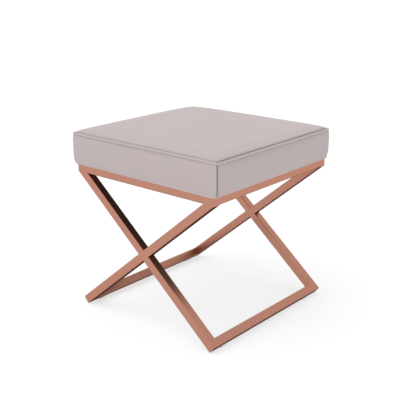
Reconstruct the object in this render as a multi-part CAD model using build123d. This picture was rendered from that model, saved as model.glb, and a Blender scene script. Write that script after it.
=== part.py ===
from build123d import *
from math import atan2, cos, pi, radians, sin, sqrt
import os

# Upholstered stool: a box cushion on two leaning U frames of square tube that cross each other.
# Millimetres, +Z up, origin on the floor under the centre of the stool.
# The crossed legs show from the front (-Y) and the back (+Y), the floor rails lie left and right.

# Welded frame
frame_width = 420.0         # along X, over the feet and over the top rails
frame_depth = 420.0         # along Y, over the front and back legs
frame_height = 360.0        # from the floor to the top of the top rails
tube_size = 20.0            # outside of the square tube
tube_wall = 1.5
tube_corner = 1.5           # outer corner radius of the tube

# Glides under the floor rails
glide_length = 24.0
glide_width = 6.0
glide_corner = 2.0
glide_sole = 0.8            # from the floor to the sharp lower edge of the tube
glide_inset = 36.0          # from the end of a floor rail to its glide

# Plates welded into the corners of the top rails
plate_leg = 46.0            # along each rail
plate_tip = 12.0            # blunt tips
plate_thickness = 3.0
plate_hole_inset = 15.0     # from the rail's inner face to the hole

# Seat screws with washers and tee nuts
screw_diameter = 6.0
screw_length = 20.0
screw_clearance = 0.3       # radial, in plates, washers, cloth and board
head_diameter = 10.5
head_height = 3.3
head_round = 1.8
socket_size = 4.0           # across flats
socket_depth = 2.0
washer_diameter = 12.0
washer_thickness = 1.6
thread_gap = 0.05           # radial, between screw and tee nut
nut_flange_diameter = 18.0
nut_flange_thickness = 1.5
nut_barrel_diameter = 8.0
nut_barrel_length = 9.0
nut_fit = 0.1               # radial, between tee nut and board

# Seat board
board_thickness = 15.0
board_corner = 12.0
board_margin = 1.8          # from the board's edge to the inside of the turned cover

# Cushion: outer form of the cover
pad_overhang = 8.0          # past the frame, at the widest height
pad_corner = 8.0            # radius of the upright corners
layer_corner = 2.0          # least radius of the layers inside
lip_gap = 0.5               # between the rails and the soft lower edge that hangs past their top
lip_width = 2.0             # from that gap out to the lowest line of the edge
lip_drop = 3.0              # of the lowest line below the underside of the cover
roll_height = 24.0          # from the lowest line up to where the sides stand upright
seam_height = 73.0          # from the underside of the cover to the welt seam
seam_draw = 1.5             # how far the sides draw in at the welt seam
crown = 7.0                 # rise of the top panel above the welt seam
crown_reach = 0.9           # part of the way to the centre where the crown levels out
roll_steps = 6
crown_steps = 12

# Cushion: layers and trim
cover_thickness = 1.2
wrap_thickness = 4.8
turned_width = 30.0         # cover turned under the board, from the frame's outer faces
welt_radius = 2.5
welt_gap = 0.1              # between the piping and the layers that it lies against
welt_slope = radians(50)    # from the wrap's upper edge up and out to the piping's centre
cloth_thickness = 0.6
cloth_inset = 10.0          # from the frame's outer faces to the edge of the dust cloth

# Staples
staple_crown = 10.0
staple_leg = 8.0
staple_wire = 0.6
staple_wire_width = 1.2
staple_setback = 4.5        # from the rail's inner face
staple_pitch = 45.0
cover_staples_per_side = 7
cloth_staples_per_side = 6

# Worked out from the sizes above
half_x = frame_width / 2
half_y = frame_depth / 2
inner_x = half_x - tube_size
inner_y = half_y - tube_size
rail_underside = frame_height - tube_size
leg_rise = rail_underside - glide_sole
pad_width = frame_width + 2 * pad_overhang
pad_depth = frame_depth + 2 * pad_overhang
lip_inset = pad_overhang - lip_gap
pad_roll = lip_inset - lip_width
seat_bottom = frame_height + cloth_thickness
board_bottom = seat_bottom + cover_thickness
board_top = board_bottom + board_thickness
seam_level = seat_bottom + seam_height
welt_reach = welt_radius + welt_gap
welt_inset = seam_draw + cover_thickness - welt_reach * cos(welt_slope)
welt_level = seam_level - cover_thickness + welt_reach * sin(welt_slope)
board_width = pad_width - 2 * (pad_roll + cover_thickness + board_margin)
board_depth = pad_depth - 2 * (pad_roll + cover_thickness + board_margin)
plate_top = frame_height - tube_corner
plate_bottom = plate_top - plate_thickness
washer_bottom = plate_bottom - washer_thickness
screw_hole_radius = screw_diameter / 2 + screw_clearance
screw_x = inner_x - plate_hole_inset
screw_y = inner_y - plate_hole_inset

sides = {"front": (0, -1), "back": (0, 1), "left": (-1, 0), "right": (1, 0)}
corners = {"front_left": (-1, -1), "front_right": (1, -1), "back_right": (1, 1), "back_left": (-1, 1)}
depth_axis = Vector(0, 1, 0)


def lean_angle():
    """Slope of the legs, at which both the feet and the tops reach the frame's full width."""
    angle = atan2(leg_rise, frame_width)
    for _ in range(60):
        angle = atan2(leg_rise, frame_width - tube_size * sin(angle))
    return angle


lean = lean_angle()


def up_leg(foot):
    """Direction up a leg whose foot is at the left (-1) or right (1)."""
    return Vector(-foot * cos(lean), 0, sin(lean))


def across_leg(foot):
    """Direction across a leg, square to it and upwards."""
    return Vector(foot * sin(lean), 0, cos(lean))


def foot_edge(foot):
    """Point midway along the lower edge of a floor rail."""
    return Vector(foot * (half_x - tube_size * sin(lean)), 0, glide_sole)


def trim(shape, point, normal):
    """Cut away what lies beyond a plane, on the side its normal points to."""
    return split(shape, bisect_by=Plane(origin=point, z_dir=normal), keep=Keep.BOTTOM)


def mitre(shape, side, corner_x, corner_y):
    """Trim a piece to one side of a rectangle, at 45 degrees from both of its corners."""
    side_x, side_y = sides[side]
    for end in (-1, 1):
        if side_x == 0:
            shape = trim(shape, (end * corner_x, side_y * corner_y, 0), (end, -side_y, 0))
        else:
            shape = trim(shape, (side_x * corner_x, end * corner_y, 0), (-side_x, end, 0))
    return shape


def square_bar(start, direction, across, length, hollow=True):
    """Square tube from a point on its axis, or the solid bar of the same outline."""
    outline = RectangleRounded(tube_size, tube_size, tube_corner)
    if hollow:
        outline -= Rectangle(tube_size - 2 * tube_wall, tube_size - 2 * tube_wall)
    return extrude(Plane(origin=start, x_dir=across, z_dir=direction) * outline, amount=length)


def top_rail(side):
    side_x, side_y = sides[side]
    direction = Vector(abs(side_y), abs(side_x), 0)
    length = frame_width if side_x == 0 else frame_depth
    middle = Vector(
        side_x * (half_x - tube_size / 2),
        side_y * (half_y - tube_size / 2),
        frame_height - tube_size / 2,
    )
    rail = square_bar(middle - direction * (length / 2), direction, Vector(0, 0, 1), length)
    return mitre(rail, side, half_x, half_y)


def floor_rail(foot, hollow=True):
    middle = foot_edge(foot) + (up_leg(foot) + across_leg(foot)) * (tube_size / 2)
    rail = square_bar(middle - depth_axis * half_y, depth_axis, up_leg(foot), frame_depth, hollow)
    for face in (-1, 1):
        corner = foot_edge(foot) + depth_axis * (face * half_y)
        rail = trim(rail, corner, up_leg(foot) + depth_axis * face)
    return rail


def whole_leg(foot, face):
    """Leg from its mitre with the floor rail to the underside of the top rails."""
    start = foot_edge(foot) + across_leg(foot) * (tube_size / 2)
    start += depth_axis * (face * (half_y - tube_size / 2))
    leg = square_bar(start, up_leg(foot), depth_axis, leg_rise / sin(lean) + tube_size)
    leg = trim(leg, (0, 0, rail_underside), (0, 0, 1))
    corner = foot_edge(foot) + depth_axis * (face * half_y)
    return trim(leg, corner, -up_leg(foot) - depth_axis * face)


def upper_half_leg(face):
    """Upper part of the leg that is cut where it meets the through leg."""
    upper_side = foot_edge(-1) + across_leg(-1) * tube_size
    return trim(whole_leg(1, face), upper_side, -across_leg(-1))


def lower_half_leg(face):
    return trim(whole_leg(1, face), foot_edge(-1), across_leg(-1))


def floor_glide(foot, face):
    """Saddle with a flat sole, cut to the lower edge of the floor rail."""
    middle_y = face * (half_y - glide_inset - glide_length / 2)
    sole = Pos(foot_edge(foot).X, middle_y, 0) * RectangleRounded(glide_width, glide_length, glide_corner)
    return extrude(sole, amount=tube_size / 2) - floor_rail(foot, hollow=False)


def seat_plate(corner):
    side_x, side_y = corners[corner]
    reach = [(0, 0), (plate_leg, 0), (plate_leg, plate_tip), (plate_tip, plate_leg), (0, plate_leg)]
    points = [(side_x * (inner_x - x), side_y * (inner_y - y), plate_bottom) for x, y in reach]
    plate = extrude(make_face(Polyline(*points, close=True)), amount=plate_thickness, dir=(0, 0, 1))
    return plate - screw_holes(screw_hole_radius, plate_bottom, plate_top)


def upright(radius, bottom, top):
    """Upright cylinder on the Z axis."""
    return extrude(Pos(0, 0, bottom) * Circle(radius), amount=top - bottom)


def at_screws(shape):
    """One copy of a shape at each seat screw."""
    return [Pos(side_x * screw_x, side_y * screw_y, 0) * shape for side_x, side_y in corners.values()]


def screw_holes(radius, bottom, top):
    return at_screws(upright(radius, bottom, top))


def seat_screws():
    head = upright(head_diameter / 2, washer_bottom - head_height, washer_bottom)
    head = fillet(head.edges().group_by(Axis.Z)[0], head_round)
    socket = Pos(0, 0, washer_bottom - head_height) * RegularPolygon(socket_size / 2, 6, major_radius=False)
    shank = upright(screw_diameter / 2, washer_bottom, washer_bottom + screw_length)
    return at_screws(head + shank - extrude(socket, amount=socket_depth))


def seat_washers():
    washer = upright(washer_diameter / 2, washer_bottom, plate_bottom)
    return at_screws(washer - upright(screw_hole_radius, washer_bottom, plate_bottom))


def tee_nut_body(extra=0.0):
    """Flange and barrel of a tee nut, grown outwards for the hole that it sits in."""
    flange_bottom = board_top - nut_flange_thickness
    flange = upright(nut_flange_diameter / 2 + extra, flange_bottom, board_top)
    return flange + upright(nut_barrel_diameter / 2 + extra, flange_bottom - nut_barrel_length, board_top)


def tee_nuts():
    bore = upright(screw_diameter / 2 + thread_gap, board_bottom, board_top)
    return at_screws(tee_nut_body() - bore)


def staple(crown_bottom):
    """Staple on the Z axis with its crown along X and its legs up."""
    leg_middle = (staple_crown - staple_wire) / 2
    wire = Box(staple_crown, staple_wire_width, staple_wire, align=(Align.CENTER, Align.CENTER, Align.MIN))
    leg = Box(staple_wire, staple_wire_width, staple_leg, align=(Align.CENTER, Align.CENTER, Align.MIN))
    wire += Pos(-leg_middle, 0, 0) * leg
    wire += Pos(leg_middle, 0, 0) * leg
    return Pos(0, 0, crown_bottom) * wire


def staple_row(crown_bottom, per_side):
    """Staples along all four sides, a little inside the top rails."""
    row = []
    for side_x, side_y in sides.values():
        for number in range(per_side):
            along = (number - (per_side - 1) / 2) * staple_pitch
            x = side_x * (inner_x - staple_setback) + abs(side_y) * along
            y = side_y * (inner_y - staple_setback) + abs(side_x) * along
            row.append(Pos(x, y, 0) * Rot(0, 0, 90 * abs(side_x)) * staple(crown_bottom))
    return row


def outline_at(level, width, depth, corner):
    return Pos(0, 0, level) * RectangleRounded(width, depth, corner)


def layer_radius(inset):
    """Radius of the upright corners of a layer inside the cover."""
    return max(pad_corner - inset, layer_corner)


def pad_outline(level, reduced, corner):
    """Outline of the cushion at one level, reduced on each side from its widest."""
    return outline_at(level, pad_width - 2 * reduced, pad_depth - 2 * reduced, corner)


def rolled_outlines(inset):
    """Outlines of the soft lower edge, down past the rail and up round the roll."""
    base = seat_bottom + inset
    lowest = base - lip_drop
    roll_top = seat_bottom - lip_drop + roll_height
    side_corner = layer_radius(inset)
    lip_corner = min(side_corner, lip_width / (1 - sqrt(0.5)))
    outlines = [pad_outline(base, lip_inset - inset, layer_corner + inset)]
    for step in range(roll_steps + 1):
        turn = step / roll_steps * pi / 2
        level = lowest + (roll_top - lowest) * (1 - cos(turn))
        reduced = pad_roll + (inset - pad_roll) * sin(turn)
        outlines.append(pad_outline(level, reduced, lip_corner + (side_corner - lip_corner) * sin(turn)))
    return outlines


def crown_outlines(inset):
    """Outlines of the crowned top, which round off as they close in from the welt seam."""
    width = pad_width - 2 * (inset + seam_draw)
    depth = pad_depth - 2 * (inset + seam_draw)
    outlines = []
    for step in range(crown_steps + 1):
        left = 1 - crown_reach * step / crown_steps
        level = seam_level - inset + crown * (1 - left**3)
        rounding = layer_radius(inset) * left + crown_reach * (1 - left) * left * min(width, depth) / 2
        outlines.append(outline_at(level, width * left, depth * left, rounding))
    return outlines


def pad_form(inset, lower_outlines):
    """Closed form of the cushion, or of a layer inside it, from its lower outlines up."""
    seam = pad_outline(seam_level - inset, inset + seam_draw, layer_radius(inset))
    return loft(lower_outlines + [seam], ruled=True) + loft(crown_outlines(inset), ruled=True)


def foam_core():
    inset = cover_thickness + wrap_thickness
    return pad_form(inset, [pad_outline(board_top, inset, layer_radius(inset))])


def welt_piping():
    """Piping round the top edge, just outside the upper edge of the fibre wrap."""
    route = pad_outline(welt_level, welt_inset, pad_corner).face().outer_wire()
    section = Plane(origin=route @ 0, z_dir=route % 0) * Circle(welt_radius)
    return sweep(section, path=route)


def seat_board_blank():
    return extrude(outline_at(board_bottom, board_width, board_depth, board_corner), amount=board_thickness)


def seat_board(staples):
    board = seat_board_blank() - at_screws(tee_nut_body(nut_fit))
    return board - screw_holes(screw_hole_radius, board_bottom, board_top) - staples


def dust_cloth(staples):
    outline = Rectangle(frame_width - 2 * cloth_inset, frame_depth - 2 * cloth_inset)
    cloth = extrude(Pos(0, 0, frame_height) * outline, amount=cloth_thickness)
    return cloth - screw_holes(screw_hole_radius, frame_height, seat_bottom) - staples


def top_panel(shell):
    """Crowned panel of the cover, inside the piping."""
    edge = pad_outline(seam_level - cover_thickness, welt_inset + welt_reach, pad_corner)
    return shell & extrude(edge, amount=cover_thickness + crown)


def boxing_ring(shell, staples):
    """All four sides of the cover, from the turned-under edge up to the piping."""
    ring = trim(shell, (0, 0, welt_level - welt_reach), (0, 0, 1))
    opening = pad_outline(seat_bottom, pad_overhang + turned_width, pad_corner)
    ring -= extrude(opening, amount=cover_thickness)
    return ring - screw_holes(screw_hole_radius, seat_bottom, board_bottom) - staples


def frame_pieces():
    pieces = {}
    for side in sides:
        pieces[f"{side}_top_rail"] = top_rail(side)
    for name, face in (("front", -1), ("back", 1)):
        pieces[f"{name}_through_leg"] = whole_leg(-1, face)
        pieces[f"{name}_upper_half_leg"] = upper_half_leg(face)
        pieces[f"{name}_lower_half_leg"] = lower_half_leg(face)
    for name, foot in (("left", -1), ("right", 1)):
        pieces[f"{name}_floor_rail"] = floor_rail(foot)
    for corner, (foot, face) in corners.items():
        pieces[f"{corner}_seat_plate"] = seat_plate(corner)
        pieces[f"{corner}_floor_glide"] = floor_glide(foot, face)
    return pieces


def seat_pieces():
    cover_staples = staple_row(seat_bottom, cover_staples_per_side)
    cloth_staples = staple_row(frame_height - staple_wire, cloth_staples_per_side)
    staples = cover_staples + cloth_staples
    lining = pad_form(cover_thickness, rolled_outlines(cover_thickness))
    foam = foam_core()
    shell = pad_form(0, rolled_outlines(0)) - lining
    boxing = boxing_ring(shell, staples)
    pieces = {
        "seat_board": seat_board(staples),
        "foam_core": foam,
        "fibre_wrap": lining - foam - seat_board_blank(),
        "top_panel": top_panel(shell),
        "welt_piping": welt_piping(),
        "dust_cloth": dust_cloth(cloth_staples),
        "seat_screws": seat_screws(),
        "seat_washers": seat_washers(),
        "tee_nuts": tee_nuts(),
        "cover_staples": cover_staples,
        "cloth_staples": cloth_staples,
    }
    for side in sides:
        pieces[f"{side}_boxing"] = mitre(boxing, side, pad_width / 2, pad_depth / 2)
    return pieces


def main():
    os.makedirs("parts", exist_ok=True)
    for name, piece in {**frame_pieces(), **seat_pieces()}.items():
        solids = piece if isinstance(piece, list) else [piece]
        export_step(Compound([solid for shape in solids for solid in shape.solids()]), f"parts/{name}.step")


main()
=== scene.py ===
import math

import bpy
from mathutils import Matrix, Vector, noise


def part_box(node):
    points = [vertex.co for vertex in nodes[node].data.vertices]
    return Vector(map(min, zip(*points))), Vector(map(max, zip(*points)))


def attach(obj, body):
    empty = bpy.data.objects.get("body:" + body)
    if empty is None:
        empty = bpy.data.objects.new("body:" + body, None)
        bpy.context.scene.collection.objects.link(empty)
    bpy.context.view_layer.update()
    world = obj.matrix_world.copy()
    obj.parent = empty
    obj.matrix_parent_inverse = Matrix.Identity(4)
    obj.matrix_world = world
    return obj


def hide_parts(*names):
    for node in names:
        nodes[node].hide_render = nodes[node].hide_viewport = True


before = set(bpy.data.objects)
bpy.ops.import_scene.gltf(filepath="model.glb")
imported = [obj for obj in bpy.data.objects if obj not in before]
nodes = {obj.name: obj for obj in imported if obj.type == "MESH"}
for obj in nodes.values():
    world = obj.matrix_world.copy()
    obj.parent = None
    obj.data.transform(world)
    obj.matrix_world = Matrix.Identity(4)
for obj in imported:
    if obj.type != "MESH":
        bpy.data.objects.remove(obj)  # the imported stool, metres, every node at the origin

scene = bpy.context.scene
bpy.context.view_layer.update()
tiny = 1e-5  # tolerance when places are compared
print("frame loaded,", len(nodes), "nodes")


# Mesh helpers
def workOn(piece):
    if bpy.context.mode != "OBJECT":
        bpy.ops.object.mode_set(mode="OBJECT")
    bpy.ops.object.select_all(action="DESELECT")
    piece.select_set(True)
    bpy.context.view_layer.objects.active = piece


def pickVerts(piece, wanted):  # leaves edit mode open with only these vertices picked
    bpy.ops.object.mode_set(mode="EDIT")
    bpy.ops.mesh.select_mode(type="VERT")
    bpy.ops.mesh.select_all(action="DESELECT")
    bpy.ops.object.mode_set(mode="OBJECT")
    for vert in piece.data.vertices:
        vert.select = wanted(vert)
    bpy.ops.object.mode_set(mode="EDIT")


def applyLast(piece):  # applies the modifier that was added last
    workOn(piece)
    bpy.ops.object.modifier_apply(modifier=piece.modifiers[-1].name)


def inGroup(piece, name):  # indices of the vertices that are fully in a group
    group = piece.vertex_groups[name].index
    found = set()
    for vert in piece.data.vertices:
        if any(entry.group == group and entry.weight > 0.99 for entry in vert.groups):
            found.add(vert.index)
    return found


def addGrid(name, cells, half, level):  # a level grid with these half sizes
    bpy.ops.object.select_all(action="DESELECT")
    bpy.ops.mesh.primitive_grid_add(
        x_subdivisions=cells, y_subdivisions=cells, size=2, location=(0, 0, level)
    )
    piece = bpy.context.object
    piece.name = name
    piece.scale = (half.x, half.y, 1)
    bpy.ops.object.transform_apply(location=True, rotation=True, scale=True)
    return piece


def runCloth(piece, groupName, pinned, setup):  # keeps the last frame of a short simulation
    group = piece.vertex_groups.new(name=groupName)
    group.add(pinned, 1.0, "REPLACE")
    cloth = piece.modifiers.new("cloth", "CLOTH")
    cloth.settings.vertex_group_mass = groupName
    cloth.settings.quality = setup["quality"]
    if "pressure" in setup:  # blown up from inside, with no weight of its own
        cloth.settings.use_pressure = True
        cloth.settings.uniform_pressure_force = setup["pressure"]
        cloth.settings.effector_weights.gravity = 0
    cloth.point_cache.frame_start = 1
    cloth.point_cache.frame_end = setup["frames"]
    for number in range(1, setup["frames"] + 1):
        scene.frame_set(number)
    applyLast(piece)
    scene.frame_set(1)


def subdivide(piece, levels):
    smooth = piece.modifiers.new("fine", "SUBSURF")
    smooth.levels = smooth.render_levels = levels
    applyLast(piece)


# Node helpers
def newFinish(name):
    finish = bpy.data.materials.new(name)
    finish.use_nodes = True
    return finish, finish.node_tree, finish.node_tree.nodes["Principled BSDF"]


def addNode(tree, kind, inputs=None, **settings):
    made = tree.nodes.new(kind)
    for name, value in settings.items():
        setattr(made, name, value)
    for socket, value in (inputs or {}).items():
        made.inputs[socket].default_value = value
    return made


def addRamp(tree, source, stops):  # stops are (position, colour)
    ramp = addNode(tree, "ShaderNodeValToRGB")
    for number, (position, colour) in enumerate(stops):
        if number < 2:
            stop = ramp.color_ramp.elements[number]
            stop.position = position
        else:
            stop = ramp.color_ramp.elements.new(position)
        stop.color = (*colour, 1)
    tree.links.new(source, ramp.inputs["Fac"])
    return ramp.outputs["Color"]


def addRange(tree, source, low, high):  # a 0 to 1 pattern spread between two values
    spread = addNode(tree, "ShaderNodeMapRange", {"To Min": low, "To Max": high})
    tree.links.new(source, spread.inputs["Value"])
    return spread.outputs["Result"]


def addNoise(tree, coords, scale, detail=3.0):
    grain = addNode(tree, "ShaderNodeTexNoise", {"Scale": scale, "Detail": detail})
    tree.links.new(coords, grain.inputs["Vector"])
    return grain.outputs["Fac"]


def addMapping(tree, coords, turn=(0, 0, 0), stretch=(1, 1, 1)):
    mapping = addNode(tree, "ShaderNodeMapping", {"Rotation": turn, "Scale": stretch})
    tree.links.new(coords, mapping.inputs["Vector"])
    return mapping.outputs["Vector"]


def addMath(tree, operation, first, second):
    step = addNode(tree, "ShaderNodeMath", operation=operation)
    for socket, value in zip(step.inputs, (first, second)):
        if isinstance(value, (int, float)):
            socket.default_value = value
        else:
            tree.links.new(value, socket)
    return step.outputs["Value"]


def addBump(tree, shader, height, distance, strength):
    bump = addNode(tree, "ShaderNodeBump", {"Distance": distance, "Strength": strength})
    tree.links.new(height, bump.inputs["Height"])
    tree.links.new(bump.outputs["Normal"], shader.inputs["Normal"])


def addLook(tree, shader, look, tone, wear):  # colour by one pattern, roughness by another
    tree.links.new(addRamp(tree, tone, look["tones"]), shader.inputs["Base Color"])
    tree.links.new(addRange(tree, wear, *look["rough"]), shader.inputs["Roughness"])


# Camera at the photograph's angle
cameraView = {
    "place": (1.20803, -1.41019, 0.85998),
    "azimuth": 40.07,
    "elevation": 16.49,
    "lens": 72.0,
    "sensor": 36.0,
    "shift": (-0.025, -0.05),
}


def makeCamera():
    tilt = math.radians(90 - cameraView["elevation"])
    turn = math.radians(cameraView["azimuth"])
    bpy.ops.object.camera_add(location=cameraView["place"], rotation=(tilt, 0, turn))
    camera = bpy.context.object
    camera.data.lens = cameraView["lens"]
    camera.data.sensor_width = cameraView["sensor"]
    camera.data.shift_x, camera.data.shift_y = cameraView["shift"]
    scene.camera = camera


makeCamera()
print("camera set")

# Seat cushion
sideLow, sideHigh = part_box("right_boxing")
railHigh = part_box("right_top_rail")[1]
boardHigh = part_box("seat_board")[1]
weltLow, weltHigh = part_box("welt_piping")
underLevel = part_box("dust_cloth")[1].z
fullness = 0.0008  # how far the stuffed sides stand out from the solid ones
weltPull = 0.0034  # how far the filling pulls the welt down
widest = Vector((sideHigh.x + fullness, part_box("back_boxing")[1].y + fullness))
rail = Vector((railHigh.x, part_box("back_top_rail")[1].y))
board = Vector((boardHigh.x, boardHigh.y))

cushion = {
    "cells": 36,  # across the top, for the simulation
    "seamLevel": (weltLow.z + weltHigh.z) / 2 - weltPull,
    "seamIn": 0.0054,  # seam beside the welt, in from the sides
    "grooveIn": 0.0070,  # groove between the welt and the top panel
    "grooveDip": 0.0022,
    "cornerDip": 0.0030,  # more of it in the corners
    "shoulderIn": 0.0166,  # the top panel rolls over from here, out above the groove
    "shoulderOut": 0.0064,
    "shoulderTurn": math.radians(122),
    "shoulderSteps": 7,
    "looseSteps": 2,  # of those, free to swell
    "panelRise": 0.0096,  # flat of the panel above the seam
    "bulgeRise": 0.0040,  # widest part of its edge above the seam
    "cornerFlat": 0.28,  # share of the rise that the corners lose
    "cornerReach": 0.024,
    "frontClose": 0.0021,  # panel's edge rests closer on the welt along the front
    "tuckIn": 0.0014,  # sides drawn in under the welt
    "tuckFade": 0.006,
    "bow": 0.001,  # seam drawn in between its corners
    "slack": 0.0016,  # how much smaller the sides start
    "endPower": 6,  # how close to the corners a side keeps its bow
    "sideSteps": 8,
    "sideCrowd": 1.5,  # crowds the steps towards the seam
    "rollHeight": 0.024,
    "rollSteps": 5,
    "lipOut": 0.0025,  # lowest line, out from the rail
    "lipGap": 0.0005,
    "flapIn": 0.030,  # cover turned under, in from the rail's face
    "flapSteps": 3,
    "flapThick": 0.0012,
    "boardGap": 0.0003,
    "pressure": 4.0,
    "quality": 6,
    "frames": 20,
    "crown": 0.003,  # most that the top may swell
    "bulge": 0.0018,  # most that the sides may swell
    "cornerRound": 0.006,
    "cornerSteps": 6,
    "cornerNear": 0.0004,  # tolerance when the middle of a corner is picked
    "cornerWithin": 0.012,  # and how far in it can lie
    "cornerStart": 0.001,  # its groove starts this far below the welt
    "cornerCrease": 0.9,
    "grooveDeep": 0.005,
    "seamNear": 0.0006,  # tolerance when the welt seam is picked
    "seamCut": 0.32,  # share of the corner radius by which the seam cuts its corners
    "fineLevels": 2,
    "turn": math.radians(1.0),  # sits a little askew on its frame
    "lean": -0.0108,  # rise of the top towards the back
    "backDrop": 0.0048,  # soft back corner
    "backReach": 0.036,
    "settle": 0.006,  # height above the lip where the turn is whole
    "underNear": 0.001,  # tolerance when the part under the seat is left as it is
    "smoothAngle": math.radians(50),
}


def inset(half, inwards):
    return half - Vector((inwards, inwards))


def cushionRings():  # kind, half sizes and level of each ring, from the shoulder down and under
    rings = []
    seam = cushion["seamLevel"]
    rollTop = sideLow.z + cushion["rollHeight"]
    rolled = cushion["shoulderIn"] - cushion["shoulderOut"]
    for step in range(1, cushion["shoulderSteps"] + 1):
        turn = step / cushion["shoulderSteps"] * cushion["shoulderTurn"]
        kind = "loose" if step <= cushion["looseSteps"] else "shoulder"
        half = inset(widest, cushion["shoulderIn"] - rolled * math.sin(turn))
        rise = (cushion["panelRise"] - cushion["bulgeRise"]) * math.cos(turn) + cushion["bulgeRise"]
        rings.append((kind, half, seam + rise))
    rings.append(("groove", inset(widest, cushion["grooveIn"]), seam - cushion["grooveDip"]))
    rings.append(("seam", inset(widest, cushion["seamIn"]), seam))
    for step in range(1, cushion["sideSteps"] + 1):
        down = (seam - rollTop) * (step / cushion["sideSteps"]) ** cushion["sideCrowd"]
        tuck = cushion["tuckIn"] * math.exp(-down / cushion["tuckFade"])
        rings.append(("side", inset(widest, tuck), seam - down))
    for step in range(1, cushion["rollSteps"] + 1):
        turn = step / cushion["rollSteps"] * math.pi / 2
        inwards = (widest.x - rail.x - cushion["lipOut"]) * (1 - math.cos(turn))
        kind = "side" if step < cushion["rollSteps"] - 1 else "lip"
        level = rollTop - cushion["rollHeight"] * math.sin(turn)
        rings.append((kind, inset(widest, inwards), level))
    for step in range(cushion["flapSteps"] + 1):
        reach = (cushion["flapIn"] + cushion["lipGap"]) * step / cushion["flapSteps"]
        inwards = reach - cushion["lipGap"]
        rings.append(("under", inset(rail, inwards), underLevel))
    flapTop = underLevel + cushion["flapThick"]
    pocket = inset(board, -cushion["boardGap"])
    rings.append(("under", inset(rail, cushion["flapIn"]), flapTop))
    rings.append(("under", pocket, flapTop))
    rings.append(("under", pocket, boardHigh.z + cushion["boardGap"]))
    return rings


def blockCushion():  # a grid for the top panel, then ring after ring extruded round it
    half = inset(widest, cushion["shoulderIn"])
    level = cushion["seamLevel"] + cushion["panelRise"]
    piece = addGrid("seat_cushion", cushion["cells"], half, level)
    pickVerts(piece, lambda vert: abs(vert.co.x) > half.x - tiny or abs(vert.co.y) > half.y - tiny)
    for _, nextHalf, nextLevel in cushionRings():
        bpy.ops.mesh.extrude_region_move(
            TRANSFORM_OT_translate={"value": (0, 0, nextLevel - level)}
        )
        ratio = (nextHalf.x / half.x, nextHalf.y / half.y, 1)
        bpy.ops.transform.resize(value=ratio, center_override=(0, 0, nextLevel))
        half, level = nextHalf, nextLevel
    bpy.ops.mesh.select_all(action="SELECT")
    bpy.ops.mesh.normals_make_consistent(inside=False)
    bpy.ops.object.mode_set(mode="OBJECT")
    return piece


def sortCushion(piece):  # each ring adds its vertices in turn, so their numbers tell them apart
    kinds = [ring[0] for ring in cushionRings()]
    sorts = {kind: set() for kind in ("top", "corner", *kinds)}
    topCount = (cushion["cells"] + 1) ** 2
    for vert in piece.data.vertices:
        ring = (vert.index - topCount) // (4 * cushion["cells"])
        kind = "top" if vert.index < topCount else kinds[ring]
        onCorner = abs(abs(vert.co.x) - abs(vert.co.y)) < tiny
        sorts[kind].add(vert.index)
        if kind not in ("top", "under") and onCorner:
            sorts["corner"].add(vert.index)
    return sorts


def fromSides(place):  # distances in from the two nearest sides
    return widest.x - abs(place.x), widest.y - abs(place.y)


def shapeCushion(piece, sorts):  # sides drawn in between the corners, panel low in the corners
    drawn = (sorts["seam"] | sorts["side"]) - sorts["corner"]
    for vert in piece.data.vertices:
        place = vert.co
        inX, inY = fromSides(place)
        if vert.index in drawn:
            share = abs(place.x) / widest.x if inY < inX else abs(place.y) / widest.y
            most = cushion["bow"] if vert.index in sorts["seam"] else cushion["slack"]
            pull = most * (1 - share ** cushion["endPower"])
            if inY < inX:
                place.y -= math.copysign(pull, place.y)
            else:
                place.x -= math.copysign(pull, place.x)
        if inY < inX and place.y < 0 and vert.index in sorts["shoulder"]:
            place.y -= cushion["frontClose"]
        rise = place.z - cushion["seamLevel"]
        fromCorner = max(inX + inY - 2 * cushion["shoulderOut"], 0)
        inCorner = math.exp(-fromCorner / cushion["cornerReach"])
        if rise > 0:
            place.z -= rise * cushion["cornerFlat"] * inCorner
        elif vert.index in sorts["groove"]:
            place.z -= cushion["cornerDip"] * inCorner


def puffCushion(piece, sorts):  # pressure swells the panels between the sewn lines
    start = [vert.co.copy() for vert in piece.data.vertices]
    panel = sorts["top"] | sorts["loose"]
    free = (panel | sorts["side"]) - sorts["corner"]
    sewn = [vert.index for vert in piece.data.vertices if vert.index not in free]
    runCloth(piece, "sewn", sewn, cushion)
    for vert in piece.data.vertices:
        moved = vert.co - start[vert.index]
        limit = cushion["crown"] if vert.index in panel else cushion["bulge"]
        if moved.length > 0:
            swell = limit * math.tanh(moved.length / limit)
            vert.co = start[vert.index] + moved.normalized() * swell


def onCornerSeam(place, signX, signY):  # on the middle line of one upright corner
    inX, inY = widest.x - signX * place.x, widest.y - signY * place.y
    onSide = underLevel < place.z < cushion["seamLevel"] - cushion["cornerStart"]
    return abs(inX - inY) < cushion["cornerNear"] and inX < cushion["cornerWithin"] and onSide


def onWeltSeam(place):
    atLevel = abs(place.z - cushion["seamLevel"]) < cushion["seamNear"]
    furthest = cushion["seamIn"] + cushion["seamCut"] * cushion["cornerRound"]
    return atLevel and min(fromSides(place)) < furthest


def sewCorners(piece, sorts):  # rounds the upright corners and sinks a groove along each seam
    corner = sorts["corner"]
    pickVerts(piece, lambda vert: vert.index in corner)
    bpy.ops.mesh.bevel(
        offset=cushion["cornerRound"], segments=cushion["cornerSteps"], profile=0.5, affect="EDGES"
    )
    sunk = cushion["grooveDeep"] / math.sqrt(2)
    for signX in (-1, 1):
        for signY in (-1, 1):
            pickVerts(piece, lambda vert: onCornerSeam(vert.co, signX, signY))
            bpy.ops.transform.translate(value=(-signX * sunk, -signY * sunk, 0))
            bpy.ops.transform.edge_crease(value=cushion["cornerCrease"])
    bpy.ops.object.mode_set(mode="OBJECT")


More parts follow.
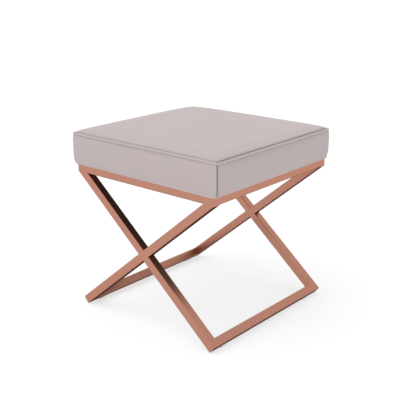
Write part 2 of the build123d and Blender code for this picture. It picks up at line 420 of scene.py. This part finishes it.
def refineCushion(piece):  # creases the welt seam, subdivides the whole and closes it
    pickVerts(piece, lambda vert: onWeltSeam(vert.co))
    bpy.ops.transform.edge_crease(value=1)
    bpy.ops.object.mode_set(mode="OBJECT")
    seamGroup = piece.vertex_groups.new(name="welt_seam")
    seamGroup.add([vert.index for vert in piece.data.vertices if vert.select], 1.0, "REPLACE")
    subdivide(piece, cushion["fineLevels"])
    pickVerts(piece, lambda vert: False)
    bpy.ops.mesh.select_non_manifold()  # the open edge of the pocket over the board
    bpy.ops.mesh.edge_face_add()
    bpy.ops.mesh.quads_convert_to_tris()
    bpy.ops.object.mode_set(mode="OBJECT")


puckers = {
    "gather": 0.0006,  # ripples under the welt
    "gatherStart": 0.004,  # whole from this far below the seam
    "gatherFade": 0.011,
    "gatherPerMetre": 60.0,
    "gatherDown": 30.0,  # ripples per metre down the sides
    "slant": 0.7,
    "wave": 0.0006,  # the welt seam's own waver
    "waveReach": 0.012,
    "wavePerMetre": 26.0,
    "frontLift": 0.0013,  # welt higher against the front of the panel
    "rightDrop": 0.0005,  # and lower along its right side
    "cornerLift": 0.0015,  # welt standing up in the left and right corners
    "cornerReach": 0.030,
    "liftFade": 0.020,
    "soft": 0.0008,  # broad unevenness of the padding
    "softStart": 0.05,  # whole from this far in from the sides
    "softPerMetre": 11.0,
    "rollShare": 0.3,  # lower part of the rolled edge that stays smooth
    "faceDown": -0.3,  # faces that point further down stay smooth
    "faceUp": 0.5,  # faces that point further up belong to the top
}


def weltLift(place):  # how the welt and the side under it ride up or down
    inX, inY = fromSides(place)
    across = (cushion["grooveIn"] - min(inX, inY)) / (cushion["grooveIn"] - cushion["seamIn"])
    down = max(cushion["seamLevel"] - place.z, 0)
    weight = min(max(across, 0), 1) * math.exp(-down / puckers["liftFade"])
    lift = 0
    if place.x * place.y > 0:  # towards the left or the right corner
        lift += puckers["cornerLift"] * math.exp(-max(inX, inY) / puckers["cornerReach"])
    if inY < inX and place.y < 0:
        lift += puckers["frontLift"] * (1 - (place.x / widest.x) ** cushion["endPower"])
    elif inX < inY and place.x > 0:
        lift -= puckers["rightDrop"] * (1 - (place.y / widest.y) ** cushion["endPower"])
    return lift * weight


def puckerCushion(piece):  # gathers under the welt, a wavering seam and uneven padding
    seam = cushion["seamLevel"]
    lowest = sideLow.z + cushion["rollHeight"] * puckers["rollShare"]
    normals = [vert.normal.copy() for vert in piece.data.vertices]  # read before anything moves
    for vert, out in zip(piece.data.vertices, normals):
        place = vert.co.copy()
        if place.z < lowest or out.z < puckers["faceDown"]:
            continue
        inwards = min(fromSides(place))
        along, across = place.x - place.y, place.x + place.y
        off = Vector((inwards - cushion["seamIn"], seam - place.z))
        waver = noise.noise(Vector((along * puckers["wavePerMetre"], across, 0)))
        lift = waver * puckers["wave"] * math.exp(-(off.length / puckers["waveReach"]) ** 2)
        lift += weltLift(place)
        soft = noise.noise(place * puckers["softPerMetre"]) * puckers["soft"]
        if out.z < puckers["faceUp"] and place.z < seam:  # a side
            down = seam - place.z
            slanted = (along + puckers["slant"] * down) * puckers["gatherPerMetre"]
            ripple = noise.noise(Vector((slanted, down * puckers["gatherDown"], across)))
            fade = math.exp(-down / puckers["gatherFade"]) * min(down / puckers["gatherStart"], 1)
            vert.co = place + out * (soft + ripple * puckers["gather"] * fade)
        else:
            vert.co = place + out * soft * min(inwards / puckers["softStart"], 1)
        vert.co.z += lift


def settleCushion(piece):  # sits a little askew, lower at the back
    low = sideLow.z
    rollTop = low + cushion["rollHeight"]
    underIn = widest.x - rail.x - cushion["lipOut"] + cushion["underNear"]
    underTop = boardHigh.z + cushion["underNear"]
    backCorner = Vector((-widest.x, widest.y))
    for vert in piece.data.vertices:
        place = vert.co
        if min(fromSides(place)) > underIn and place.z < underTop:
            continue  # turned under the board
        share = min(max((place.z - low) / cushion["settle"], 0), 1)
        turn = cushion["turn"] * share * share * (3 - 2 * share)
        height = min(max((place.z - rollTop) / (cushion["seamLevel"] - rollTop), 0), 1)
        toBack = (place.xy - backCorner).length
        fall = cushion["backDrop"] * math.exp(-toBack / cushion["backReach"])
        place.z += height * (cushion["lean"] * place.y - fall)
        place.xy = (
            place.x * math.cos(turn) - place.y * math.sin(turn),
            place.x * math.sin(turn) + place.y * math.cos(turn),
        )


def makeCushion():
    piece = blockCushion()
    sorts = sortCushion(piece)
    shapeCushion(piece, sorts)
    puffCushion(piece, sorts)
    sewCorners(piece, sorts)
    refineCushion(piece)
    puckerCushion(piece)
    settleCushion(piece)
    bpy.ops.object.mode_set(mode="EDIT")
    bpy.ops.mesh.select_all(action="SELECT")
    bpy.ops.mesh.normals_make_consistent(inside=False)
    bpy.ops.uv.cube_project(cube_size=1.0)  # the weave is scaled in metres
    bpy.ops.object.mode_set(mode="OBJECT")
    bpy.ops.object.shade_smooth_by_angle(angle=cushion["smoothAngle"])
    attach(piece, "root")
    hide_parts("top_panel", "front_boxing", "back_boxing", "left_boxing", "right_boxing")
    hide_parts("foam_core", "fibre_wrap")
    return piece


seatCushion = makeCushion()
print("cushion made,", len(seatCushion.data.polygons), "faces")

# Welt cord in the seam round the top
welt = {
    "radius": 0.0031,
    "in": 0.0026,  # middle of the cord, in from the sides
    "drop": 0.0002,  # and below the seam
    "sides": 3,  # bevel resolution of the cord
}


def makeWelt():
    seam = inGroup(seatCushion, "welt_seam")
    workOn(seatCushion)
    pickVerts(seatCushion, lambda vert: vert.index in seam)
    bpy.ops.mesh.duplicate()
    bpy.ops.mesh.separate(type="SELECTED")
    bpy.ops.object.mode_set(mode="OBJECT")
    piece = next(other for other in bpy.context.selected_objects if other != seatCushion)
    piece.name = "welt_cord"
    piece.vertex_groups.clear()
    workOn(piece)
    bpy.ops.object.mode_set(mode="EDIT")
    bpy.ops.mesh.select_all(action="SELECT")
    outwards = (widest.x - welt["in"]) / (widest.x - cushion["seamIn"])
    bpy.ops.transform.resize(value=(outwards, outwards, 1), center_override=(0, 0, 0))
    bpy.ops.transform.translate(value=(0, 0, -welt["drop"]))
    bpy.ops.object.mode_set(mode="OBJECT")
    bpy.ops.object.convert(target="CURVE")
    piece.data.bevel_depth = welt["radius"]
    piece.data.bevel_resolution = welt["sides"]
    bpy.ops.object.convert(target="MESH")
    bpy.ops.object.shade_smooth()
    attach(piece, "root")
    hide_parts("welt_piping")
    return piece


weltCord = makeWelt()
print("welt made,", len(weltCord.data.polygons), "faces")

# Dust cloth under the seat
underCloth = {
    "cells": 40,
    "thick": 0.0006,
    "held": 0.017,  # border that the rails and staples hold
    "sag": 0.004,
    "quality": 5,
    "frames": 12,
    "fineLevels": 1,
    "smoothAngle": math.radians(40),
}


def sagCloth(piece, half):  # hangs a little between the rails
    start = [vert.co.copy() for vert in piece.data.vertices]
    held = []
    for vert in piece.data.vertices:
        if max(abs(vert.co.x) - half.x, abs(vert.co.y) - half.y) > -underCloth["held"]:
            held.append(vert.index)
    runCloth(piece, "held", held, underCloth)
    for vert in piece.data.vertices:
        fallen = start[vert.index].z - vert.co.z
        vert.co = start[vert.index]
        vert.co.z -= underCloth["sag"] * math.tanh(fallen / underCloth["sag"])


def makeUnderCloth():
    clothLow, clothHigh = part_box("dust_cloth")
    half = Vector((clothHigh.x, clothHigh.y))
    piece = addGrid("under_cloth", underCloth["cells"], half, (clothLow.z + clothHigh.z) / 2)
    sagCloth(piece, half)
    subdivide(piece, underCloth["fineLevels"])
    shell = piece.modifiers.new("thick", "SOLIDIFY")
    shell.thickness = underCloth["thick"]
    shell.offset = 0
    applyLast(piece)
    bpy.ops.object.shade_smooth_by_angle(angle=underCloth["smoothAngle"])
    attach(piece, "root")
    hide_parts("dust_cloth")
    return piece


dustCloth = makeUnderCloth()
print("dust cloth made,", len(dustCloth.data.polygons), "faces")

# Weld metal ground flush where the legs meet the rails and where they cross
weld = {
    "round": 0.0015,  # corner radius of the tubes, which the weld fills up
    "over": 0.0002,  # onto the flats beside it
    "proud": 0.00004,
    "chamfer": 0.6,  # of a bar's own size, off its hidden edge
    "chamferSteps": 2,
    "leanRounds": 20,  # enough for the slope of the legs to settle
}


def legLean():  # slope of the legs, from the box of one of them
    legLow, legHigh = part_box("front_through_leg")
    tube = legHigh.y - legLow.y
    lean = math.atan2(legHigh.z - legLow.z, legHigh.x - legLow.x)
    for _ in range(weld["leanRounds"]):
        lean = math.atan2(legHigh.z - legLow.z, legHigh.x - legLow.x - tube * math.sin(lean))
    return lean


lean = legLean()


def weldBar(middle, size, turn, inner):  # a bar with its hidden inner edge taken off
    bpy.ops.object.select_all(action="DESELECT")
    bpy.ops.mesh.primitive_cube_add(size=1)
    bar = bpy.context.object
    pickVerts(bar, lambda vert: all(place * side >= 0 for place, side in zip(vert.co, inner)))
    bpy.ops.mesh.bevel(offset=weld["chamfer"], segments=weld["chamferSteps"], affect="EDGES")
    bpy.ops.object.mode_set(mode="OBJECT")
    bar.scale = size
    bar.rotation_euler = (0, turn, 0)
    bar.location = middle
    bpy.ops.object.transform_apply(location=True, rotation=True, scale=True)
    return bar


def makeWelds():
    bars = []
    fill = weld["round"]
    thick = fill + 2 * weld["over"]
    for side in ("front", "back"):
        legLow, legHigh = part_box(side + "_through_leg")
        tube = legHigh.y - legLow.y
        middleY = (legLow.y + legHigh.y) / 2
        wide = tube / math.sin(lean)  # of a leg, measured level
        for sign in (-1, 1):  # under the top rail's two ends
            middle = (sign * (legHigh.x - wide / 2 + weld["proud"]), middleY, legHigh.z + fill / 2)
            bars.append(weldBar(middle, (wide, tube + 2 * weld["proud"], thick), 0, (-sign, 0, 1)))
        along = Vector((math.cos(lean), 0, math.sin(lean)))
        across = Vector((-math.sin(lean), 0, math.cos(lean)))
        crossing = Vector((0, middleY, legHigh.z - (legHigh.x - wide / 2) * math.tan(lean)))
        length = tube / math.sin(2 * lean) - 2 * fill
        for sign in (-1, 1):  # along both edges of the leg that runs through
            edge = (
                crossing
                + across * sign * (tube - fill) / 2
                - along * sign * tube / 2 / math.tan(2 * lean)
            )
            for face in (-1, 1):
                middle = edge + Vector((0, face * ((tube - fill) / 2 + weld["proud"]), 0))
                bars.append(weldBar(middle, (length, fill, thick), -lean, (0, -face, -sign)))
    workOn(bars[0])
    for bar in bars:
        bar.select_set(True)
    bpy.ops.object.join()
    piece = bars[0]
    piece.name = "leg_welds"
    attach(piece, "root")
    return piece


legWelds = makeWelds()
print("welds made,", len(legWelds.data.polygons), "faces")

# Finishes
copper = {
    "tones": [
        # the darkest stop is the painted shade that the undersides reach
        (0.0, (0.10, 0.040, 0.028)),
        (0.3, (0.468, 0.222, 0.157)),
        (0.7, (0.508, 0.246, 0.177)),
    ],
    "edges": [(0.0, (0.32, 0.19, 0.15)), (1.0, (0.85, 0.60, 0.52))],  # reflection tint, its dark end painted shade on the undersides
    "rough": (0.26, 0.36),
    "brush": (6, 700, 700),  # streaks per metre along and across the tube
    "brushDetail": 2.0,
    "clouds": 9.0,
    "under": (-0.4, -0.05),  # painted shade on the undersides, fading out between these normals' Z
    "bump": (0.0001, 0.12),
}


def roseCopper(name, turn):  # satin copper plate, brushed along the tube, with painted shade on its undersides in colour and reflection tint
    finish, tree, shader = newFinish(name)
    coords = addNode(tree, "ShaderNodeTexCoord")
    place = coords.outputs["Object"]
    alongTube = addMapping(tree, place, turn=turn)
    streaks = addMapping(tree, alongTube, stretch=copper["brush"])
    brushed = addNoise(tree, streaks, 1.0, copper["brushDetail"])
    cloudy = addNoise(tree, place, copper["clouds"])
    tone = addMath(tree, "MULTIPLY", addMath(tree, "ADD", brushed, cloudy), 0.5)
    # painted shade: faces that point down take a darker colour
    facing = addNode(tree, "ShaderNodeSeparateXYZ")
    tree.links.new(coords.outputs["Normal"], facing.inputs["Vector"])
    fadeFrom, fadeTo = copper["under"]
    above = addNode(tree, "ShaderNodeMapRange", {"From Min": fadeFrom, "From Max": fadeTo})
    tree.links.new(facing.outputs["Z"], above.inputs["Value"])
    toneWithPaintedShade = addMath(tree, "MULTIPLY", tone, above.outputs["Result"])
    addLook(tree, shader, copper, toneWithPaintedShade, tone)
    # painted shade in the reflection: undersides get a dark copper tint
    edge = addRamp(tree, above.outputs["Result"], copper["edges"])
    tree.links.new(edge, shader.inputs["Specular Tint"])
    shader.inputs["Metallic"].default_value = 1.0
    addBump(tree, shader, brushed, *copper["bump"])
    return finish


fabric = {
    "tones": [(0.3, (0.442, 0.383, 0.378)), (0.7, (0.472, 0.411, 0.405))],
    "rough": (0.68, 0.8),
    "threadsPerMetre": 1100.0,
    "threadsPerScale": 20.0,  # of a wave texture
    "blotches": 14.0,
    "slubs": (40, 900, 1),
    "slubDetail": 2.0,
    "sheen": 0.2,
    "sheenRough": 0.4,
    "sheenTint": (1.0, 0.96, 0.95, 1),
    "specular": 0.35,
    "bump": (0.0001, 0.25),
}


def seatFabric(name, turn):  # fine plain weave with a soft sheen
    finish, tree, shader = newFinish(name)
    coords = addNode(tree, "ShaderNodeTexCoord")
    place = coords.outputs["Object"]
    weave = addMapping(tree, coords.outputs["UV"], turn=(0, 0, turn))
    threads = fabric["threadsPerMetre"]
    bands = {"Scale": threads / fabric["threadsPerScale"]}
    warp = addNode(tree, "ShaderNodeTexWave", bands, bands_direction="X")
    weft = addNode(tree, "ShaderNodeTexWave", bands, bands_direction="Y")
    checker = addNode(tree, "ShaderNodeTexChecker", {"Scale": threads})
    for pattern in (warp, weft, checker):
        tree.links.new(weave, pattern.inputs["Vector"])
    over = addNode(tree, "ShaderNodeMix", data_type="FLOAT")
    tree.links.new(checker.outputs["Fac"], over.inputs[0])
    tree.links.new(warp.outputs["Fac"], over.inputs[2])
    tree.links.new(weft.outputs["Fac"], over.inputs[3])
    blotches = addNoise(tree, place, fabric["blotches"])
    stretched = addMapping(tree, weave, stretch=fabric["slubs"])
    slubs = addNoise(tree, stretched, 1.0, fabric["slubDetail"])
    tone = addMath(tree, "MULTIPLY", addMath(tree, "ADD", blotches, slubs), 0.5)
    addLook(tree, shader, fabric, tone, tone)
    shader.inputs["Sheen Weight"].default_value = fabric["sheen"]
    shader.inputs["Sheen Roughness"].default_value = fabric["sheenRough"]
    shader.inputs["Sheen Tint"].default_value = fabric["sheenTint"]
    shader.inputs["Specular IOR Level"].default_value = fabric["specular"]
    addBump(tree, shader, over.outputs[0], *fabric["bump"])
    return finish


nonWoven = {
    "tones": [(0.1, (0.012, 0.012, 0.013)), (0.5, (0.035, 0.034, 0.034))],
    "rough": (0.8, 0.95),
    "fibres": 700.0,
    "fibreDetail": 4.0,
    "dots": 380.0,
    "dotScatter": 0.15,
    "bump": (0.0003, 0.5),
}


def blackNonWoven(name):  # spun fibres pressed with a fine dot pattern
    finish, tree, shader = newFinish(name)
    place = addNode(tree, "ShaderNodeTexCoord").outputs["Object"]
    fibres = addNoise(tree, place, nonWoven["fibres"], nonWoven["fibreDetail"])
    pattern = {"Scale": nonWoven["dots"], "Randomness": nonWoven["dotScatter"]}
    dots = addNode(tree, "ShaderNodeTexVoronoi", pattern)
    tree.links.new(place, dots.inputs["Vector"])
    tone = addMath(tree, "MULTIPLY", fibres, dots.outputs["Distance"])
    addLook(tree, shader, nonWoven, tone, fibres)
    addBump(tree, shader, tone, *nonWoven["bump"])
    return finish


zinc = {
    "tones": [(0.3, (0.48, 0.50, 0.52)), (0.7, (0.66, 0.66, 0.64))],
    "rough": (0.28, 0.45),
    "spangle": 420.0,
    "bump": (0.0001, 0.15),
}


def zincPlate(name):  # bright zinc with faint spangle
    finish, tree, shader = newFinish(name)
    place = addNode(tree, "ShaderNodeTexCoord").outputs["Object"]
    spangle = addNoise(tree, place, zinc["spangle"])
    addLook(tree, shader, zinc, spangle, spangle)
    shader.inputs["Metallic"].default_value = 1.0
    addBump(tree, shader, spangle, *zinc["bump"])
    return finish


plywood = {
    "tones": [(0.35, (0.42, 0.25, 0.12)), (0.95, (0.72, 0.52, 0.31))],
    "rough": (0.55, 0.75),
    "grain": (5, 90, 20),
    "grainDetail": 6.0,
    "plies": 90.0,
    "plyWaver": 0.4,
    "plyShare": 0.35,
    "bump": (0.0002, 0.3),
}


def birchPlywood(name):  # grain along X on the faces, plies round the edge
    finish, tree, shader = newFinish(name)
    place = addNode(tree, "ShaderNodeTexCoord").outputs["Object"]
    stretched = addMapping(tree, place, stretch=plywood["grain"])
    grain = addNoise(tree, stretched, 1.0, plywood["grainDetail"])
    layers = {"Scale": plywood["plies"], "Distortion": plywood["plyWaver"]}
    plies = addNode(tree, "ShaderNodeTexWave", layers, bands_direction="Z")
    tree.links.new(place, plies.inputs["Vector"])
    banded = addMath(tree, "MULTIPLY", plies.outputs["Fac"], plywood["plyShare"])
    addLook(tree, shader, plywood, addMath(tree, "ADD", banded, grain), grain)
    addBump(tree, shader, grain, *plywood["bump"])
    return finish


nylon = {
    "tones": [(0.35, (0.66, 0.62, 0.60)), (0.75, (0.74, 0.71, 0.69))],
    "rough": (0.4, 0.6),
    "pebbles": 1400.0,
    "scuffs": 160.0,
    "bump": (0.0002, 0.3),
}


def glideNylon(name):  # milky moulded nylon with a pebbled skin
    finish, tree, shader = newFinish(name)
    place = addNode(tree, "ShaderNodeTexCoord").outputs["Object"]
    pebbles = addNoise(tree, place, nylon["pebbles"])
    scuffs = addNoise(tree, place, nylon["scuffs"])
    addLook(tree, shader, nylon, scuffs, scuffs)
    addBump(tree, shader, pebbles, *nylon["bump"])
    return finish


quarterTurn = math.pi / 2
finishes = {
    "cross": roseCopper("rose_copper_cross", (0, 0, 0)),
    "deep": roseCopper("rose_copper_deep", (0, 0, -quarterTurn)),
    "rising": roseCopper("rose_copper_rising", (0, lean, 0)),
    "falling": roseCopper("rose_copper_falling", (0, -lean, 0)),
    "zinc": zincPlate("bright_zinc"),
    "ply": birchPlywood("birch_plywood"),
    "nylon": glideNylon("glide_nylon"),
}
wears = {  # which finish a node wears, by how its name ends
    "front_top_rail": "cross",
    "back_top_rail": "cross",
    "left_top_rail": "deep",
    "right_top_rail": "deep",
    "floor_rail": "deep",
    "through_leg": "rising",
    "half_leg": "falling",
    "seat_plate": "cross",
    "floor_glide": "nylon",
    "seat_board": "ply",
    "seat_screws": "zinc",
    "seat_washers": "zinc",
    "tee_nuts": "zinc",
    "staples": "zinc",
}


def dress(piece, finish):
    piece.data.materials.clear()
    piece.data.materials.append(finish)


for ending, finishName in wears.items():
    for nodeName, node in nodes.items():
        if nodeName.endswith(ending):
            dress(node, finishes[finishName])
dress(seatCushion, seatFabric("seat_fabric", 0))
dress(weltCord, seatFabric("welt_fabric", quarterTurn / 2))  # cut on the bias
dress(dustCloth, blackNonWoven("black_non_woven"))
dress(legWelds, finishes["rising"])
print("finishes on")

# Floor and studio light
studio = {
    "floorSize": 60.0,
    "tones": [(0.3, (0.3564, 0.3564, 0.3564)), (0.7, (0.36, 0.36, 0.36))],
    "clouds": 3.0,
    "floorRough": 0.9,
    "floorGlow": 0.66,  # lit from within, so that shadows stay faint
    "white": (1, 1, 1, 1),
    "worldStrength": 0.95,
    "keyFrom": (-0.34, -0.44, 0.83),  # direction of the soft overhead light
    "keyStrength": 0.80,
    "keySpread": math.radians(55),
}


def palePaper(name):
    finish, tree, shader = newFinish(name)
    place = addNode(tree, "ShaderNodeTexCoord").outputs["Object"]
    tone = addRamp(tree, addNoise(tree, place, studio["clouds"]), studio["tones"])
    tree.links.new(tone, shader.inputs["Base Color"])
    shader.inputs["Roughness"].default_value = studio["floorRough"]
    shader.inputs["Specular IOR Level"].default_value = 0.0
    shader.inputs["Emission Color"].default_value = studio["white"]
    shader.inputs["Emission Strength"].default_value = studio["floorGlow"]
    return finish


def makeFloor():
    bpy.ops.object.select_all(action="DESELECT")
    bpy.ops.mesh.primitive_plane_add(size=studio["floorSize"])
    floor = bpy.context.object
    floor.name = "studio_floor"
    dress(floor, palePaper("pale_paper"))


def makeKey():
    toSeat = -Vector(studio["keyFrom"])
    bpy.ops.object.light_add(type="SUN", rotation=toSeat.to_track_quat("-Z", "Y").to_euler())
    light = bpy.context.object
    light.name = "key_light"
    light.data.energy = studio["keyStrength"]
    light.data.angle = studio["keySpread"]


def makeWorld():
    world = bpy.data.worlds.new("studio_world")
    world.use_nodes = True
    sky = world.node_tree.nodes["Background"]
    sky.inputs["Color"].default_value = studio["white"]
    sky.inputs["Strength"].default_value = studio["worldStrength"]
    scene.world = world
    scene.view_settings.view_transform = "Standard"


makeFloor()
makeKey()
makeWorld()
print("studio lit")
